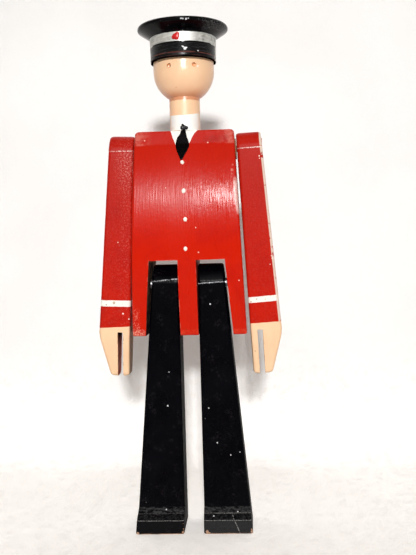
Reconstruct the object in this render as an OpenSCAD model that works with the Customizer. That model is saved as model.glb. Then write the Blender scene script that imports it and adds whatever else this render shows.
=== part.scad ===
// A jointed wooden figure in uniform: a jacket block, a turned head that
// turns on its neck peg under a peaked cap, two arms on shoulder pins and
// two legs on one hip rod. It stands on the floor, faces -Y, and its left
// side is +X.

/* [Jacket] */
// Height of the jacket's hem above the floor
hem_z = 85; // [76:0.1:90]
// Height of the jacket block from hem to shoulders
jacket_h = 88.1; // [84:0.1:96]
// Width of the jacket across the shoulders
shoulder_w = 42.5; // [40:0.1:46]
// Width of the jacket at the hem
hem_w = 49.6; // [48:0.1:54]
// Front-to-back depth of the jacket at its fullest
belly_d = 29.4; // [26:0.1:33]
// Height of the fullest place above the hem
belly_rise = 44.2; // [40:0.1:50]
// Front-to-back depth of the jacket at the hem
hem_d = 16.6; // [15:0.1:19]
// Radius of the jacket's upright edges
jacket_edge_r = 1.0; // [0.6:0.1:2]
// Height of the slanting facet at the shoulders
facet_h = 6.3; // [4:0.1:8]
// Front-to-back depth of the jacket's top
top_d = 14.3; // [13.9:0.1:15.5]
// Radius that rounds the ends of the shoulders
shoulder_r = 1.4; // [0.6:0.1:2.4]
// Radius worn on the front and back edges of the jacket's top
jacket_top_r = 0.4; // [0.2:0.05:0.5]
// Softness of the line where the facet starts
facet_soft = 0.6; // [0.2:0.1:1]
// Radius that rounds the hem
jacket_hem_r = 0.8; // [0.4:0.1:1.2]
// Width of the web between the two leg slots
web_w = 7.8; // [6.5:0.1:8.5]

/* [Legs] */
// Height of the hip rod above the hem
hip_rise = 22.3; // [20:0.1:25]
// Front-to-back depth of a leg
leg_d = 16.9; // [15:0.1:18]
// Width of a leg at its top
leg_top_w = 10.9; // [10:0.1:12]
// Width of a foot at the floor
foot_w = 21.1; // [18:0.1:23]
// Reach of the toe ahead of the hip rod
toe_reach = 14.3; // [12:0.1:17]
// Height of the toe's blunt front
toe_h = 5.8; // [4:0.1:6.6]
// Height of the break in the foot's top
step_h = 8; // [7:0.1:9]
// Reach of that break, as a share of the toe's reach ahead of the leg
step_reach_share = 0.45; // [0.3:0.05:0.6]
// Height at which the foot leaves the leg
instep_h = 10; // [9.2:0.1:12]
// Radius of a leg's upright edges
leg_edge_r = 1.0; // [0.5:0.1:1.5]
// Radius worn on the edge of the sole
sole_r = 0.5; // [0.3:0.1:0.8]
// Gap between a leg and the web
web_gap = 0.3; // [0.2:0.05:0.5]
// Gap between a leg and the outer wall of its slot
slot_gap = 1.2; // [1.1:0.05:1.5]
// Gap between a leg's round top and the slot's top
slot_top_gap = 1.9; // [1:0.1:2.5]
// Diameter of the hip rod
hip_rod_d = 4; // [3:0.1:5]
// Diameter of the plugs over the rod's ends
hip_plug_d = 7; // [6:0.1:8]
// Length of the plugs over the rod's ends
hip_plug_l = 3.2; // [2.4:0.1:4]

/* [Arms] */
// Depth of the shoulder pins below the jacket's top
shoulder_drop = 7.8; // [7:0.1:9]
// Gap between the jacket and an arm at its pin
arm_gap = 0.7; // [0.6:0.05:1]
// Gap between an arm and the jacket's side line at the wrist
wrist_gap = 1.5; // [1.2:0.1:2]
// Thickness of an arm at its pin
arm_t = 10.9; // [10:0.1:12]
// Width of the hand at the wrist
wrist_w = 13.7; // [12.5:0.1:15]
// Width of the hand across the finger tips
finger_w = 8.5; // [8:0.1:10]
// Front-to-back depth of an arm at its round shoulder
arm_d = 13.4; // [12:0.1:14.5]
// Front-to-back depth of the hand at the wrist
wrist_d = 12.6; // [11:0.1:13.5]
// Front-to-back depth of the finger tips
finger_d = 9; // [8:0.1:11]
// Distance from the shoulder pin to the wrist
wrist_drop = 80.4; // [78:0.1:86]
// Distance from the shoulder pin to the finger tips
finger_drop = 98.3; // [95:0.1:104]
// Radius of an arm's long edges
arm_edge_r = 1.3; // [0.8:0.1:2.4]
// Radius of the finger tips
finger_tip_r = 1.5; // [0.8:0.1:2]
// Width of the slot between the fingers
finger_slot_w = 2.35; // [2:0.05:2.6]
// Length of the slot between the fingers
finger_slot_h = 19.4; // [15:0.1:22]
// Thickness of the inner finger
inner_finger_t = 2.8; // [2.6:0.1:3.4]
// Diameter of a shoulder pin's shank
pin_d = 3; // [2.5:0.1:4]
// Length of a shoulder pin held in the jacket
pin_hold = 12; // [8:0.1:14]
// Diameter of a shoulder pin's head
pin_head_d = 6; // [5.4:0.1:6.4]
// Thickness of a shoulder pin's head
pin_head_t = 1.4; // [1:0.1:1.8]
// Diameter of the plug over a pin's head
arm_plug_d = 8; // [7.4:0.1:8.8]
// Length of the plug over a pin's head
arm_plug_l = 2.6; // [2:0.1:3]
// Diameter of the washer between arm and jacket
washer_d = 9; // [7:0.1:10]

/* [Head] */
// Diameter of the neck
neck_d = 13.3; // [12:0.1:14]
// Height of the head's centre above the jacket
head_rise = 25.9; // [25:0.1:29]
// Diameter of the head
head_d = 26.3; // [25:0.1:27.5]
// Diameter of the peg below the neck
peg_d = 9; // [7:0.1:9.6]
// Length of the peg below the neck
peg_l = 16; // [12:0.1:18]
// Gap between the neck and the jacket's top
neck_gap = 0.2; // [0.1:0.05:0.4]
// Diameter of the drilled eyes
eye_d = 1.9; // [1.4:0.1:2.4]
// Depth of the drilled eyes
eye_depth = 0.9; // [0.5:0.1:1.4]
// Distance between the eyes
eye_span = 10.7; // [9:0.1:13]
// Height of the eyes above the head's centre
eye_rise = 0.8; // [0:0.1:2]

/* [Cap] */
// Height of the cap's lower edge above the head's centre
cap_rise = 4; // [3.4:0.1:6]
// Diameter of the cap's band at its lower edge
band_low_d = 28.4; // [27.8:0.1:29.6]
// Diameter of the cap's band at its top
band_top_d = 28.9; // [28.6:0.1:31]
// Height of the cap's band
band_h = 10.4; // [9:0.1:12]
// Diameter of the cap's crown
crown_d = 39.3; // [37:0.1:42]
// Rise of the flare from the band to the crown's rim
flare_h = 3.9; // [3.4:0.1:5.4]
// Radius of the crown's rim
rim_r = 1.1; // [0.7:0.1:1.4]
// Rise of the dome above the rim's centre
dome_h = 2.1; // [1.6:0.1:3]
// Depth of the socket that the head goes up into
socket_h = 7; // [5:0.1:8]
// Reach of the peak in front of the band's lower edge
peak_reach = 2.3; // [1.6:0.1:3.2]
// Height of the peak's upper line above the cap's lower edge
peak_h = 5.9; // [5:0.1:7]
// Height of the peak's blunt edge
peak_lip = 1.4; // [1:0.1:1.8]
// Thickness left at the peak's ends, and the wear on its edge
peak_end_t = 0.3; // [0.2:0.05:0.5]
// Width of the peak from side to side, as a share of the band
peak_w_share = 0.96; // [0.9:0.01:0.98]

/* [Fits] */
// Radial clearance where a pin, rod or peg turns
turn_gap = 0.05; // [0.03:0.01:0.08]
// Radial clearance where a piece is glued or driven in
glue_gap = 0.02; // [0.01:0.01:0.03]
// Gap between two faces that slide past each other
slide_gap = 0.2; // [0.1:0.05:0.3]

/* [Hidden] */
$fn = 96;

// Steps in the quarter turn of an edge, and in the round of a shoulder or hip
EDGE_STEPS = 5;
ROUND_STEPS = 14;
CURVE_STEPS = 20;
PEAK_STEPS = 16;
// One overrun for every cut, and room around a cut that clears a whole side
over = 1;
clear_side = 40;

// Heights and half sizes of the jacket
top_z = hem_z + jacket_h;
belly_z = hem_z + belly_rise;
facet_z = top_z - facet_h;
side_slope = (hem_w - shoulder_w) / 2 / jacket_h;
side_lean = atan(side_slope);
belly_sag = (belly_d - hem_d) / 2;
belly_r = (pow(belly_rise, 2) + pow(belly_sag, 2)) / (2 * belly_sag);

// Hip and leg
hip_z = hem_z + hip_rise;
leg_r = leg_d / 2;
leg_top_z = hip_z + leg_r;
leg_in_x = web_w / 2 + web_gap;
leg_slope = (foot_w - leg_top_w) / leg_top_z;
slot_top_z = leg_top_z + slot_top_gap;

// Shoulder and arm, in the arm's own frame: origin where the pin's axis
// crosses the jacket's side, X out along the pin, Z up along the side
shoulder_z = top_z - shoulder_drop;
arm_r = arm_d / 2;
pin_end_x = arm_gap + arm_t;
head_seat_x = pin_end_x - arm_plug_l - pin_head_t - 2 * slide_gap;
arm_out_slope = (wrist_gap + wrist_w - pin_end_x) / wrist_drop;

// Head and cap
head_z = top_z + head_rise;
head_r = head_d / 2;
cap_z = head_z + cap_rise;
band_top_z = cap_z + band_h;
rim_z = band_top_z + flare_h;
crown_r = crown_d / 2;
rim_x = crown_r - rim_r;
dome_r = (pow(rim_x, 2) + pow(dome_h - rim_r, 2)) / (2 * (dome_h - rim_r));

// Half width of the jacket at height z, and half depth: an arc up to the
// facet, then straight in to the top
function jacket_x(z) = shoulder_w / 2 + side_slope * (top_z - z);
function arc_y(z) = belly_d / 2 - belly_r + sqrt(pow(belly_r, 2) - pow(z - belly_z, 2));
function jacket_y(z) = z < facet_z
    ? arc_y(z)
    : top_d / 2 + (arc_y(facet_z) - top_d / 2) * (top_z - z) / facet_h;

// How far a rounded end of radius r draws in, at height h below that end
function draw_in(r, h) = h >= r ? 0 : r - sqrt(max(0, pow(r, 2) - pow(r - h, 2)));

// Outer face of a leg at height z
function leg_out_x(z) = leg_in_x + leg_top_w + leg_slope * (leg_top_z - z);

// Inner and outer face of an arm at z in the arm's own frame
function arm_in_x(z) = arm_gap - (wrist_gap - arm_gap) * z / wrist_drop;
function arm_out_x(z) = lookup(z, [
    [-finger_drop, arm_in_x(-wrist_drop) + finger_w],
    [-wrist_drop, wrist_gap + wrist_w],
    [arm_r, pin_end_x - arm_out_slope * arm_r]
]);
function arm_y(z) = lookup(z, [
    [-finger_drop, finger_d / 2],
    [-wrist_drop, wrist_d / 2],
    [0, arm_r]
]);

// A station is [z, low x, high x, low y, high y, corner radius]. Its ring is
// that rectangle with round corners, run anticlockwise seen from above.
function station_ring(s) =
    let (
        r = min(s[5], (s[2] - s[1]) / 2, (s[4] - s[3]) / 2),
        xs = [s[2] - r, s[1] + r, s[1] + r, s[2] - r],
        ys = [s[4] - r, s[4] - r, s[3] + r, s[3] + r]
    )
    [for (corner = [0:3]) for (step = [0:EDGE_STEPS])
        let (a = 90 * (corner + step / EDGE_STEPS))
        [xs[corner] + r * cos(a), ys[corner] + r * sin(a), s[0]]];

// A closed skin through rings of points, each ring turning anticlockwise
// when seen from the ring after it
module skin(rings) {
    n = len(rings[0]);
    last = len(rings) - 1;
    polyhedron(
        points = [for (ring = rings) each ring],
        faces = concat(
            [[for (i = [0:n - 1]) i]],
            [for (k = [0:last - 1]) for (i = [0:n - 1]) let (j = (i + 1) % n)
                each [
                    [k * n + i, (k + 1) * n + i, (k + 1) * n + j],
                    [k * n + i, (k + 1) * n + j, k * n + j]
                ]],
            [[for (i = [n - 1:-1:0]) last * n + i]]
        )
    );
}

// A skin through stations that are listed from the bottom up
module loft(stations) {
    skin([for (s = stations) station_ring(s)]);
}

// A cylinder that lies along +X from x = low to x = high
module along_x(d, low, high) {
    translate([low, 0, 0]) rotate([0, 90, 0]) cylinder(d = d, h = high - low);
}

// Puts its children in the left arm's own frame
module at_left_shoulder() {
    translate([jacket_x(shoulder_z), 0, shoulder_z]) rotate([0, -side_lean, 0]) children();
}

// Everything beyond the jacket's left side
module beyond_left_side() {
    translate([jacket_x(hem_z), 0, hem_z]) rotate([0, -side_lean, 0])
        translate([0, -clear_side, -clear_side]) cube([clear_side, 2 * clear_side, jacket_h + 2 * clear_side]);
}

// Heights at which the jacket's skin has a station
jacket_levels = concat(
    [for (i = [0:EDGE_STEPS]) hem_z + jacket_hem_r * (1 - cos(90 * i / EDGE_STEPS))],
    [for (i = [1:CURVE_STEPS])
        hem_z + jacket_hem_r + (jacket_h - jacket_hem_r - facet_h - facet_soft) * i / CURVE_STEPS],
    [facet_z + facet_soft],
    [for (i = [0:EDGE_STEPS]) top_z - shoulder_r * (1 - sin(90 * i / EDGE_STEPS))]
);

// The jacket before it is cut: sides that flare to the hem, a front and back
// that swell in one long arc, and a slanting facet at the shoulders
module jacket_block() {
    loft([for (z = jacket_levels) let (
        hem = draw_in(jacket_hem_r, z - hem_z),
        x = jacket_x(z) - hem - draw_in(shoulder_r, top_z - z),
        y = jacket_y(z) - hem - draw_in(jacket_top_r, top_z - z)
    ) [z, -x, x, -y, y, jacket_edge_r]]);
}

// The slot for the left leg, open at the hem and right through
module left_leg_slot() {
    low_z = hem_z - over;
    rotate([90, 0, 0]) translate([0, 0, -belly_d]) linear_extrude(2 * belly_d) polygon([
        [web_w / 2, low_z],
        [leg_out_x(low_z) + slot_gap, low_z],
        [leg_out_x(slot_top_z) + slot_gap, slot_top_z],
        [web_w / 2, slot_top_z]
    ]);
}

// The holes in the jacket's left side: the pin's hole and the plug's mouth
module left_jacket_holes() {
    at_left_shoulder() along_x(pin_d + 2 * glue_gap, -pin_hold - slide_gap, over);
    translate([0, 0, hip_z]) along_x(hip_plug_d + 2 * glue_gap, jacket_x(hip_z) - hip_plug_l, hem_w);
}

module jacket() color("red") difference() {
    jacket_block();
    for (side = [0, 1]) mirror([side, 0, 0]) {
        left_leg_slot();
        left_jacket_holes();
    }
    translate([0, 0, hip_z]) along_x(hip_rod_d + 2 * glue_gap, -hem_w, hem_w);
    translate([0, 0, top_z - peg_l]) cylinder(d = peg_d + 2 * turn_gap, h = peg_l + over);
}

// One turning: peg, neck, ball and the straight crown that the cap sits on
module head_turning() {
    under_neck = asin(neck_d / head_d);
    rotate_extrude() polygon(concat(
        [
            [0, top_z - peg_l + slide_gap],
            [peg_d / 2, top_z - peg_l + slide_gap],
            [peg_d / 2, top_z + neck_gap],
            [neck_d / 2, top_z + neck_gap]
        ],
        [for (i = [0:2 * CURVE_STEPS])
            let (a = under_neck + (90 - under_neck) * i / (2 * CURVE_STEPS))
            [head_r * sin(a), head_z - head_r * cos(a)]],
        [
            [head_r, cap_z + socket_h - slide_gap],
            [0, cap_z + socket_h - slide_gap]
        ]
    ));
}

// A drilled dimple at the head's surface, on the side given by -1 or 1
module eye(side) {
    turn = asin(eye_span / 2 / head_r);
    lift = asin(eye_rise / head_r);
    translate([0, 0, head_z]) rotate([0, 0, side * turn]) rotate([90 - lift, 0, 0])
        translate([0, 0, head_r - eye_depth]) {
            cylinder(d = eye_d, h = eye_depth + over);
            translate([0, 0, -eye_d / 4]) cylinder(d1 = 0, d2 = eye_d, h = eye_d / 4);
        }
}

module neck_and_head() color("peachpuff") difference() {
    head_turning();
    for (side = [-1, 1]) eye(side);
}

// The cap's turned outline: socket, band, flare, rolled rim and low dome
module cap() color("black") rotate_extrude() polygon(concat(
    [
        [0, cap_z + socket_h],
        [head_r + glue_gap, cap_z + socket_h],
        [head_r + glue_gap, cap_z],
        [band_low_d / 2, cap_z],
        [band_top_d / 2, band_top_z]
    ],
    [for (i = [0:2 * EDGE_STEPS])
        let (a = -45 + 120 * i / (2 * EDGE_STEPS))
        [rim_x + rim_r * cos(a), rim_z + rim_r * sin(a)]],
    [for (i = [1:CURVE_STEPS])
        let (a = asin(rim_x / dome_r) * (1 - i / CURVE_STEPS))
        [dome_r * sin(a), rim_z + dome_h - dome_r * (1 - cos(a))]]
));

// The peak: a crescent that leans out from the band and ends in a blunt lip.
// It is a skin through sections that stand all round the front of the band.
module cap_peak() color("dimgray") {
    half_turn = asin(peak_w_share);
    step = half_turn / PEAK_STEPS;
    low_r = (band_low_d / 2 + glue_gap) / cos(step / 2);
    high_r = low_r + (band_top_d - band_low_d) / 2 * peak_h / band_h;
    skin([for (i = [-PEAK_STEPS:PEAK_STEPS]) let (
        a = i * step,
        out_r = low_r + peak_end_t + (peak_reach - peak_end_t) * cos(90 * i / PEAK_STEPS)
    ) [for (p = [
        [low_r, 0],
        [high_r, peak_h],
        [high_r + peak_end_t / 2, peak_h],
        [out_r - peak_end_t / 2, peak_lip],
        [out_r, peak_lip - peak_end_t],
        [out_r, peak_end_t / 2],
        [out_r - peak_end_t / 2, 0]
    ]) [p[0] * sin(a), -p[0] * cos(a), cap_z + p[1]]]]);
}

// Heights in the arm's own frame at which its skin has a station
arm_levels = concat(
    [for (i = [0:EDGE_STEPS]) -finger_drop + finger_tip_r * (1 - cos(90 * i / EDGE_STEPS))],
    [-wrist_drop - arm_edge_r, -wrist_drop + arm_edge_r, 0],
    [for (i = [1:ROUND_STEPS - 1]) arm_r * sin(90 * i / ROUND_STEPS)],
    [arm_r * sin(90 - 45 / ROUND_STEPS)]
);

// The arm before it is cut, with a round shoulder and a tapered hand
module arm_block() {
    loft([for (z = arm_levels) let (
        tip = draw_in(finger_tip_r, z + finger_drop),
        top = draw_in(arm_edge_r, arm_r - z),
        y = z > 0 ? sqrt(pow(arm_r, 2) - pow(z, 2)) : arm_y(z) - tip
    ) [z, arm_in_x(z) + tip + top, arm_out_x(z) - tip - top, -y, y, arm_edge_r]]);
}

module left_arm() color("firebrick") at_left_shoulder() difference() {
    arm_block();
    along_x(pin_d + 2 * turn_gap, 0, pin_end_x);
    along_x(arm_plug_d, head_seat_x, pin_end_x + over);
    translate([arm_in_x(-finger_drop) + inner_finger_t, -arm_d, -finger_drop - over])
        cube([finger_slot_w, 2 * arm_d, finger_slot_h + over]);
}

// A headed pin, driven into the jacket, on which the arm turns
module left_arm_pin() color("silver") at_left_shoulder() {
    along_x(pin_d, -pin_hold, head_seat_x + slide_gap + pin_head_t);
    along_x(pin_head_d, head_seat_x + slide_gap, head_seat_x + slide_gap + pin_head_t);
}

// The wooden plug over the pin's head, sanded flush with the arm
module left_arm_plug() color("firebrick") at_left_shoulder() difference() {
    along_x(arm_plug_d - 2 * glue_gap, pin_end_x - arm_plug_l, pin_end_x + over);
    translate([pin_end_x, 0, 0]) rotate([0, atan(arm_out_slope), 0])
        translate([0, -clear_side / 2, -clear_side / 2]) cube(clear_side);
}

// The washer that keeps the arm's paint off the jacket
module left_arm_washer() color("tan") at_left_shoulder() difference() {
    along_x(washer_d, glue_gap, arm_gap - slide_gap);
    along_x(pin_d + 2 * turn_gap, -over, arm_gap);
}

// Heights at which a leg's skin has a station
leg_levels = concat(
    [for (i = [0:EDGE_STEPS]) sole_r * (1 - cos(90 * i / EDGE_STEPS))],
    [toe_h, step_h, instep_h, instep_h + toe_h, hip_z],
    [for (i = [1:ROUND_STEPS - 1]) hip_z + leg_r * sin(90 * i / ROUND_STEPS)],
    [hip_z + leg_r * sin(90 - 45 / ROUND_STEPS)]
);

// Reach of a leg's front face at height z, from the blunt toe to the shin
function leg_front(z) = z > hip_z
    ? sqrt(pow(leg_r, 2) - pow(z - hip_z, 2))
    : lookup(z, [
        [0, toe_reach],
        [toe_h, toe_reach - leg_edge_r / 2],
        [step_h, leg_r + (toe_reach - leg_r) * step_reach_share],
        [instep_h, leg_r],
        [hip_z, leg_r]
    ]);

// A leg before it is bored: straight inside, flaring outside to the foot
module leg_block() {
    loft([for (z = leg_levels) let (
        sole = draw_in(sole_r, z),
        top = draw_in(leg_edge_r, leg_top_z - z),
        back = z > hip_z ? leg_front(z) : leg_r
    ) [z, leg_in_x + sole + top, leg_out_x(z) - sole - top, -leg_front(z) + sole, back - sole, leg_edge_r]]);
}

module left_leg() color("dimgray") difference() {
    leg_block();
    translate([0, 0, hip_z]) along_x(hip_rod_d + 2 * turn_gap, 0, hem_w);
}

// The rod that both legs swing on, driven through the jacket from one side
module hip_rod() color("silver") {
    reach = jacket_x(hip_z) - hip_plug_l - slide_gap;
    translate([0, 0, hip_z]) along_x(hip_rod_d, -reach, reach);
}

// The wooden plug over the rod's end, sanded flush with the jacket's side
module left_hip_plug() color("red") difference() {
    translate([0, 0, hip_z]) along_x(hip_plug_d, jacket_x(hip_z) - hip_plug_l, jacket_x(hip_z) + over);
    beyond_left_side();
}

module right_arm() mirror([1, 0, 0]) left_arm();
module right_arm_pin() mirror([1, 0, 0]) left_arm_pin();
module right_arm_plug() mirror([1, 0, 0]) left_arm_plug();
module right_arm_washer() mirror([1, 0, 0]) left_arm_washer();
module right_leg() mirror([1, 0, 0]) left_leg();
module right_hip_plug() mirror([1, 0, 0]) left_hip_plug();

jacket();
neck_and_head();
cap();
cap_peak();
left_arm();
right_arm();
left_arm_pin();
right_arm_pin();
left_arm_plug();
right_arm_plug();
left_arm_washer();
right_arm_washer();
left_leg();
right_leg();
hip_rod();
left_hip_plug();
right_hip_plug();
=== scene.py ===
"""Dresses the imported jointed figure: paint, bare wood, drops of paint, stage, light and camera.

Every piece is placed in the row frame, in metres: +Z up, the figure faces -Y,
and its own left side is +X. Tables of painted marks are in mm.
"""

import logging
import math
from dataclasses import dataclass
from enum import Enum
from functools import reduce
from operator import or_
from typing import Callable, Sequence, Union

import bpy
from mathutils import Matrix, Vector


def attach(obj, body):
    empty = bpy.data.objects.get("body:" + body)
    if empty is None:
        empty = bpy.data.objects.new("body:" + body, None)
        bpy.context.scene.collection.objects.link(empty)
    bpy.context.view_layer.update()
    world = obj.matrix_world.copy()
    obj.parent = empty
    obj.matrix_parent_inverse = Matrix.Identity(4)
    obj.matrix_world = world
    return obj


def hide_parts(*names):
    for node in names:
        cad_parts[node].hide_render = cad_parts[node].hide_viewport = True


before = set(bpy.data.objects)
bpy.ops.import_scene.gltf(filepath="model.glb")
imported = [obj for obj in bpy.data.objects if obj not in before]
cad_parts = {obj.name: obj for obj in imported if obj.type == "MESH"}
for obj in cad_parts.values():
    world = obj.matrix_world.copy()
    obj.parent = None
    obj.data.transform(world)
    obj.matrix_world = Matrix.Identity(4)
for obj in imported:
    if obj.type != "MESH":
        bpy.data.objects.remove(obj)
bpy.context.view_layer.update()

MM = 0.001
LOG = logging.getLogger("figure")

Triple = tuple[float, float, float]
Rgb = Triple
Dab = tuple[float, float, float, float]
Lobe = tuple[float, float, float, float, float, float]
Number = Union[float, "Value"]
Colour = Union[Rgb, "Value"]
Feeds = dict[Union[int, str], object]


class Side(Enum):
    """The figure's own left and right, with the sign of X on that side."""

    LEFT = 1
    RIGHT = -1

    @property
    def word(self) -> str:
        """The side's name as it stands in the nodes' names."""
        return self.name.lower()


def srgb(red: int, green: int, blue: int) -> Rgb:
    """Turns a display colour of 0 to 255 into linear values."""
    def one(v: int) -> float:
        """One channel, by the sRGB curve."""
        v = v / 255
        return v / 12.92 if v <= 0.04045 else ((v + 0.055) / 1.055) ** 2.4
    return one(red), one(green), one(blue)


# Modelling helpers

# Vertices closer than WELD are one; NEAR is how far off its line a wanted vertex may lie
WELD = 2e-6
NEAR = 1e-4


def deselect() -> None:
    """Leaves nothing selected, in object mode."""
    if bpy.context.object and bpy.context.object.mode != "OBJECT":
        bpy.ops.object.mode_set(mode="OBJECT")
    bpy.ops.object.select_all(action="DESELECT")


def make_active(piece: bpy.types.Object) -> None:
    """Selects one object alone and makes it the active one."""
    deselect()
    piece.select_set(True)
    bpy.context.view_layer.objects.active = piece


def apply_modifier(piece: bpy.types.Object, kind: str, **settings: object) -> None:
    """Adds a modifier and applies it at once.

    Args:
        piece: The mesh object to change.
        kind: The modifier's type.
        settings: Values for the modifier's own properties.
    """
    make_active(piece)
    modifier = piece.modifiers.new(kind.lower(), kind)
    for name, value in settings.items():
        setattr(modifier, name, value)
    bpy.ops.object.modifier_apply(modifier=modifier.name)


def select_vertices(piece: bpy.types.Object, wanted: Callable[[Vector], bool]) -> None:
    """Selects, in edit mode, just the vertices whose place is wanted.

    Args:
        piece: The mesh object, active and in edit mode.
        wanted: Says of a place whether its vertex is selected.
    """
    bpy.ops.mesh.select_all(action="DESELECT")
    bpy.ops.object.mode_set(mode="OBJECT")
    for vertex in piece.data.vertices:
        vertex.select = wanted(vertex.co)
    bpy.ops.object.mode_set(mode="EDIT")


def stand_for(piece: bpy.types.Object, node: str, body: str) -> None:
    """Makes a piece stand for a CAD node, on that node's body.

    Args:
        piece: The finished piece.
        node: The CAD node that it replaces.
        body: The body that it rides on.
    """
    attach(piece, body)
    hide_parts(node)
    LOG.info("%s stands for %s on %s", piece.name, node, body)


# Shader helpers

class Value:
    """A socket to reckon with: each step adds the node that works it out."""

    def __init__(self, wiring: "Wiring", socket: bpy.types.NodeSocket) -> None:
        """Keeps the socket and the wiring that adds its further nodes."""
        self.wiring = wiring
        self.socket = socket

    def __add__(self, other: Number) -> "Value":
        """The sum of two values."""
        return self.wiring.math("ADD", self, other)

    def __radd__(self, other: float) -> "Value":
        """A plain number and this value."""
        return self.wiring.math("ADD", other, self)

    def __sub__(self, other: Number) -> "Value":
        """This value less another."""
        return self.wiring.math("SUBTRACT", self, other)

    def __rsub__(self, other: float) -> "Value":
        """A plain number less this value."""
        return self.wiring.math("SUBTRACT", other, self)

    def __mul__(self, other: Number) -> "Value":
        """The product: of masks, the places that are in both."""
        return self.wiring.math("MULTIPLY", self, other)

    def __rtruediv__(self, other: float) -> "Value":
        """A plain number over this value."""
        return self.wiring.math("DIVIDE", other, self)

    def __or__(self, other: Number) -> "Value":
        """The higher value: of masks, the places that are in either."""
        return self.wiring.math("MAXIMUM", self, other)

    def __abs__(self) -> "Value":
        """The value without its sign."""
        return self.wiring.math("ABSOLUTE", self)

    def __lt__(self, other: Number) -> "Value":
        """The mask of places where this value is the lower."""
        return self.wiring.math("LESS_THAN", self, other)

    def __gt__(self, other: Number) -> "Value":
        """The mask of places where this value is the higher."""
        return self.wiring.math("GREATER_THAN", self, other)

    def ramp(self, low: Number, high: Number, to_low: float = 0.0, to_high: float = 1.0,
             curve: str = "SMOOTHSTEP") -> "Value":
        """Maps this value from one range to another, clamped at both ends."""
        return self.wiring.value("ShaderNodeMapRange",
                                 {0: self, 1: low, 2: high, 3: to_low, 4: to_high},
                                 interpolation_type=curve, clamp=True)

    def mix(self, under: Colour, over: Colour) -> "Value":
        """A colour laid over another by this mask."""
        return self.wiring.mix(self, under, over)

    def blend(self, under: Number, over: Number) -> "Value":
        """A plain value put in place of another by this mask."""
        return self.wiring.value("ShaderNodeMix", {0: self, 2: under, 3: over}, data_type="FLOAT")

    def stretched(self, x: float, y: float, z: float) -> "Value":
        """This vector with each part scaled by its own number."""
        return self.wiring.vector("MULTIPLY", self, (x, y, z))

    def axes(self) -> tuple["Value", ...]:
        """This vector's three parts."""
        return tuple(self.wiring.results("ShaderNodeSeparateXYZ", {0: self}).values())

    def noise(self, scale: float, detail: float = 2.0, roughness: float = 0.5,
              distortion: float = 0.0) -> "Value":
        """A Noise texture's value at this point."""
        return self.wiring.value("ShaderNodeTexNoise",
                                 {"Vector": self, "Scale": scale, "Detail": detail,
                                  "Roughness": roughness, "Distortion": distortion})


class Wiring:
    """Adds nodes to one tree and joins them, in code."""

    per_row = 12
    column_step = 180
    row_step = -220

    def __init__(self, tree: bpy.types.NodeTree) -> None:
        """Keeps the tree that the nodes go into, and empties it."""
        self.tree = tree
        self.count = 0
        tree.nodes.clear()

    def add(self, kind: str, feeds: Feeds, **settings: object) -> bpy.types.Node:
        """Adds a node, sets its own properties and feeds its inputs."""
        node = self.tree.nodes.new(kind)
        row, column = divmod(self.count, self.per_row)
        node.location = (self.column_step * column, self.row_step * row)
        self.count += 1
        for name, value in settings.items():
            setattr(node, name, value)
        for key, value in feeds.items():
            self.feed(node.inputs[key], value)
        return node

    def feed(self, target: bpy.types.NodeSocket, value: object) -> None:
        """Links a value to an input, or sets a plain one on it; None leaves it alone."""
        if isinstance(value, Value):
            self.tree.links.new(value.socket, target)
        elif value is not None:
            is_rgb = target.type == "RGBA" and len(value) == 3
            target.default_value = (*value, 1.0) if is_rgb else value

    def value(self, kind: str, feeds: Feeds, out: Union[int, str] = 0,
              **settings: object) -> Value:
        """Adds a node and gives one of its outputs."""
        return Value(self, self.add(kind, feeds, **settings).outputs[out])

    def results(self, kind: str, feeds: Feeds, **settings: object) -> dict[str, Value]:
        """Adds a node and gives all its outputs by name."""
        outputs = self.add(kind, feeds, **settings).outputs
        return {socket.name: Value(self, socket) for socket in outputs}

    def group(self, tree: bpy.types.NodeTree, **inputs: object) -> dict[str, Value]:
        """Places a node group, feeds its named inputs and gives its outputs."""
        return self.results("ShaderNodeGroup", inputs, node_tree=tree)

    def math(self, operation: str, *values: Number) -> Value:
        """A Math node's result."""
        return self.value("ShaderNodeMath", dict(enumerate(values)), operation=operation)

    def mix(self, factor: Number, under: Colour, over: Colour) -> Value:
        """A mix of two colours."""
        return self.value("ShaderNodeMix", {0: factor, 6: under, 7: over}, 2, data_type="RGBA")

    def vector(self, operation: str, a: object, b: object = None) -> Value:
        """A Vector Math node's vector."""
        return self.value("ShaderNodeVectorMath", {0: a, 1: b}, operation=operation)

    def measure(self, operation: str, a: object, b: object = None) -> Value:
        """A Vector Math node's plain value."""
        return self.value("ShaderNodeVectorMath", {0: a, 1: b}, 1, operation=operation)

    def combined(self, x: Number, y: Number, z: Number) -> Value:
        """A vector of three parts."""
        return self.value("ShaderNodeCombineXYZ", {0: x, 1: y, 2: z})

    def geometry(self, kind: str) -> Value:
        """What the surface says of itself: its Normal, True Normal or Backfacing."""
        return self.value("ShaderNodeNewGeometry", {}, kind)

    def seen(self) -> Value:
        """The mask of rays that show: straight, mirrored or through glass."""
        path = self.results("ShaderNodeLightPath", {})
        return path["Is Camera Ray"] | path["Is Glossy Ray"] | path["Is Transmission Ray"]


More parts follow.
